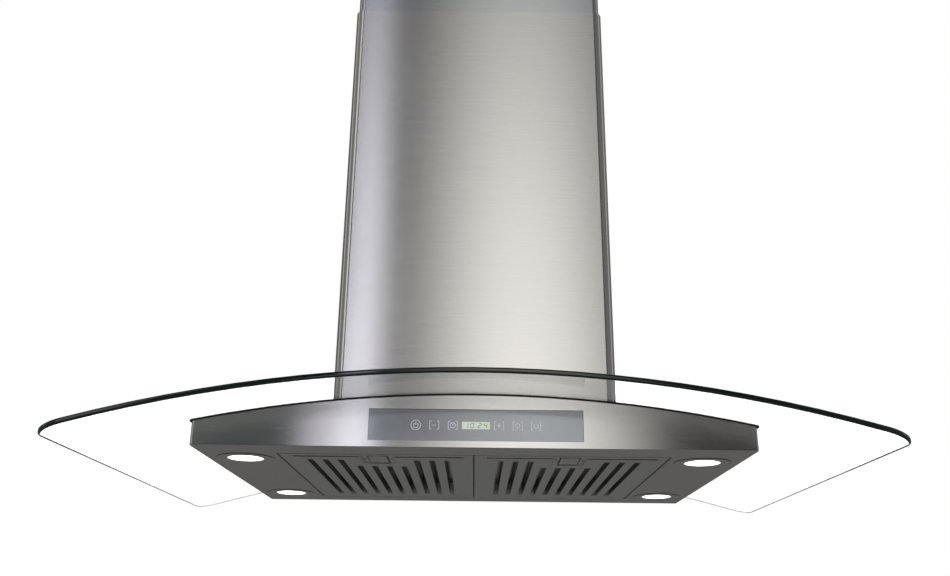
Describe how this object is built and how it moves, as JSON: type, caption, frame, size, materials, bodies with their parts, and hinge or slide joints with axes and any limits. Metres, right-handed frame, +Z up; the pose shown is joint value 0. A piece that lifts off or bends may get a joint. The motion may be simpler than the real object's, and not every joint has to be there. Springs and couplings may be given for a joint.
{
  "type": "island range hood",
  "caption": "Ceiling-hung island range hood: bent glass canopy on a slim steel body, telescopic chimney, baffle filters, round lamps and a touch panel.",
  "frame": {"origin": "middle of the ceiling plate's top face, where the hood meets the ceiling", "axes": "+Z up, +X to the right as seen from the control panel's side, +Y away from the control panel"},
  "size_m": [0.907, 0.65, 0.9547],
  "materials": {
    "brushed_stainless": "brushed along the width",
    "filter_steel": "fine satin",
    "spring_steel": "bright drawn",
    "galvanised_steel": "galvanised, faint spangle",
    "zinc_fastener": "zinc plated",
    "clear_glass": "clear, polished, green-tinted edge",
    "black_rubber": "matte",
    "motor_paint": "satin",
    "capacitor_shell": "satin",
    "black_plastic": "fine texture",
    "panel_glass": "dark tinted, polished",
    "circuit_board": "solder mask",
    "display_window": "back-lit",
    "heat_sink": "die cast",
    "lamp_trim_steel": "satin",
    "lamp_lens_opal": "opal, back-lit"
  },
  "bodies": {
    "ceiling_section": {"ceiling_plate": "galvanised_steel", "upper_frame_posts": "galvanised_steel", "upper_frame_rails": "galvanised_steel", "upper_frame_bolts": "zinc_fastener", "upper_chimney_front": "brushed_stainless", "upper_chimney_rear": "brushed_stainless", "upper_chimney_screws": "zinc_fastener"},
    "hood": {"body_shell": "brushed_stainless", "lower_chimney_front": "brushed_stainless", "lower_chimney_rear": "brushed_stainless", "damper_rod": "spring_steel", "lower_frame_posts": "galvanised_steel", "lower_frame_rails": "galvanised_steel", "mounting_saddle": "galvanised_steel", "blower_housing": "galvanised_steel", "scroll_wrap": "galvanised_steel", "scroll_side_left": "galvanised_steel", "scroll_side_right": "galvanised_steel", "motor_bracket": "galvanised_steel", "junction_box": "galvanised_steel", "plenum_liner": "galvanised_steel", "filter_divider": "galvanised_steel", "lower_chimney_screws": "zinc_fastener", "frame_lock_bolts": "zinc_fastener", "saddle_bolts": "zinc_fastener", "glass_canopy": "clear_glass", "glass_gasket": "black_rubber", "saddle_pad": "black_rubber", "motor_body": "motor_paint", "run_capacitor": "capacitor_shell", "outlet_collar": "black_plastic", "cable_gland": "black_plastic", "control_tray": "black_plastic", "power_box": "black_plastic", "control_glass": "panel_glass", "touch_board": "circuit_board", "display_module": "display_window", "lamp_housings": "heat_sink", "lamp_front_left_trim": "lamp_trim_steel", "lamp_front_left_lens": "lamp_lens_opal", "lamp_rear_left_trim": "lamp_trim_steel", "lamp_rear_left_lens": "lamp_lens_opal", "lamp_front_right_trim": "lamp_trim_steel", "lamp_front_right_lens": "lamp_lens_opal", "lamp_rear_right_trim": "lamp_trim_steel", "lamp_rear_right_lens": "lamp_lens_opal"},
    "left_filter": {"filter_left_tray": "filter_steel", "filter_left_baffles": "filter_steel", "filter_left_latch_cup": "filter_steel", "filter_left_latch_spring": "spring_steel"},
    "right_filter": {"filter_right_tray": "filter_steel", "filter_right_baffles": "filter_steel", "filter_right_latch_cup": "filter_steel", "filter_right_latch_spring": "spring_steel"},
    "left_latch": {"filter_left_latch": "filter_steel"},
    "right_latch": {"filter_right_latch": "filter_steel"},
    "impeller": {"impeller_wheel": "galvanised_steel", "motor_shaft": "spring_steel"},
    "front_flap": {"damper_flap_front": "black_plastic"},
    "rear_flap": {"damper_flap_rear": "black_plastic"}
  },
  "joints": [
    {"name": "height_adjust", "type": "slide", "parent": "ceiling_section", "child": "hood", "axis": [0, 0, -1], "range_m": [-0.14, 0.13]},
    {"name": "left_filter_swing", "type": "hinge", "parent": "hood", "child": "left_filter", "pos_m": [-0.1136, 0.1825, -0.9494], "axis": [1, 0, 0], "range_deg": [0, 70]},
    {"name": "right_filter_swing", "type": "hinge", "parent": "hood", "child": "right_filter", "pos_m": [0.1136, 0.1825, -0.9494], "axis": [1, 0, 0], "range_deg": [0, 70]},
    {"name": "left_latch_slide", "type": "slide", "parent": "left_filter", "child": "left_latch", "axis": [0, 1, 0], "range_m": [0, 0.006], "stiffness_N_per_m": 250, "springref_m": -0.004, "deforming": ["filter_left_latch_spring"]},
    {"name": "right_latch_slide", "type": "slide", "parent": "right_filter", "child": "right_latch", "axis": [0, 1, 0], "range_m": [0, 0.006], "stiffness_N_per_m": 250, "springref_m": -0.004, "deforming": ["filter_right_latch_spring"]},
    {"name": "impeller_spin", "type": "hinge", "parent": "hood", "child": "impeller", "pos_m": [0, -0.032, -0.765], "axis": [1, 0, 0], "continuous": true},
    {"name": "front_flap_swing", "type": "hinge", "parent": "hood", "child": "front_flap", "pos_m": [0, 0, -0.565], "axis": [-1, 0, 0], "range_deg": [0, 75]},
    {"name": "rear_flap_swing", "type": "hinge", "parent": "hood", "child": "rear_flap", "pos_m": [0, 0, -0.565], "axis": [1, 0, 0], "range_deg": [0, 75]}
  ]
}
